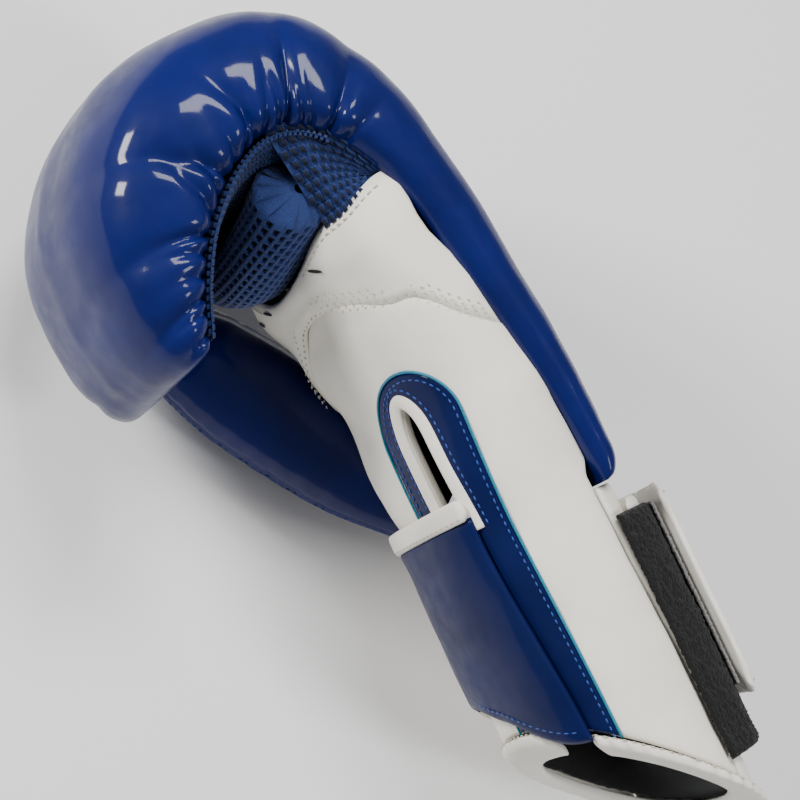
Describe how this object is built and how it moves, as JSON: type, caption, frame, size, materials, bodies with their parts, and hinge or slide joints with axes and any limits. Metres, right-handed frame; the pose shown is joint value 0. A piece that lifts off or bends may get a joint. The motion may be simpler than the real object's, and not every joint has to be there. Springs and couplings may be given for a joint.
{
  "type": "boxing glove",
  "caption": "Left-hand padded boxing glove: moulded curled fist pad, gathered skin, mesh palm grip, attached thumb, slit cuff and hook-and-loop wrist strap.",
  "frame": {"origin": "centre of the oblique cuff opening, on the wrist's axis", "axes": "+X from the cuff towards the knuckles, +Y towards the palm side, +Z towards the little finger, so the glove lies on its thumb side"},
  "size_m": [0.3032, 0.1519, 0.1403],
  "materials": {
    "blue_leather": "gloss",
    "white_leather": "satin",
    "blue_mesh": "matte",
    "black_loop": "matte",
    "hook_tape": "matte",
    "foam": "matte",
    "lining": "matte"
  },
  "bodies": {
    "glove_body": {"side_panel": "white_leather", "thumb_gusset": "blue_leather", "slit_panel": "blue_leather", "slit_binding": "white_leather", "cuff_foam": "foam", "cuff_lining": "lining", "cuff_binding": "white_leather", "wrist_back": "white_leather", "back_pad": "white_leather", "loop_panel": "black_loop", "pad_foam": "foam", "pad_skin": "blue_leather", "hand_lining": "lining", "finger_mesh": "blue_mesh", "palm_panel": "white_leather", "grip_roll": "foam", "palm_mesh": "blue_mesh"},
    "thumb": {"thumb_skin": "blue_leather", "thumb_foam": "foam", "thumb_inner": "blue_leather", "thumb_piping": "white_leather"},
    "flap": {"strap_flap": "blue_leather", "flap_binding": "white_leather"},
    "strap_middle": {"strap_side": "white_leather"},
    "strap_tip": {"strap_end": "white_leather", "hook_patch": "hook_tape"}
  },
  "joints": [
    {"name": "flap_fold", "type": "hinge", "parent": "glove_body", "child": "flap", "pos_m": [0.0598, 0.02617, 0.03223], "axis": [0.997, 0.0477, -0.0603], "range_deg": [0, 36]},
    {"name": "strap_side_bend", "type": "hinge", "parent": "flap", "child": "strap_middle", "pos_m": [0.0708, 0.02564, -0.03281], "axis": [1, 0, 0], "range_deg": [0, 45]},
    {"name": "strap_peel", "type": "hinge", "parent": "strap_middle", "child": "strap_tip", "pos_m": [0.0508, -0.02087, -0.04196], "axis": [1, 0, 0], "range_deg": [0, 90]},
    {"name": "thumb_flex", "type": "hinge", "parent": "glove_body", "child": "thumb", "pos_m": [0.098, 0, -0.047], "axis": [0, 1, 0], "range_deg": [0, 10]}
  ],
  "couplings": [
    {"joint": "flap_fold", "follows": "strap_peel", "ratio": 0.4},
    {"joint": "strap_side_bend", "follows": "strap_peel", "ratio": 0.5}
  ]
}
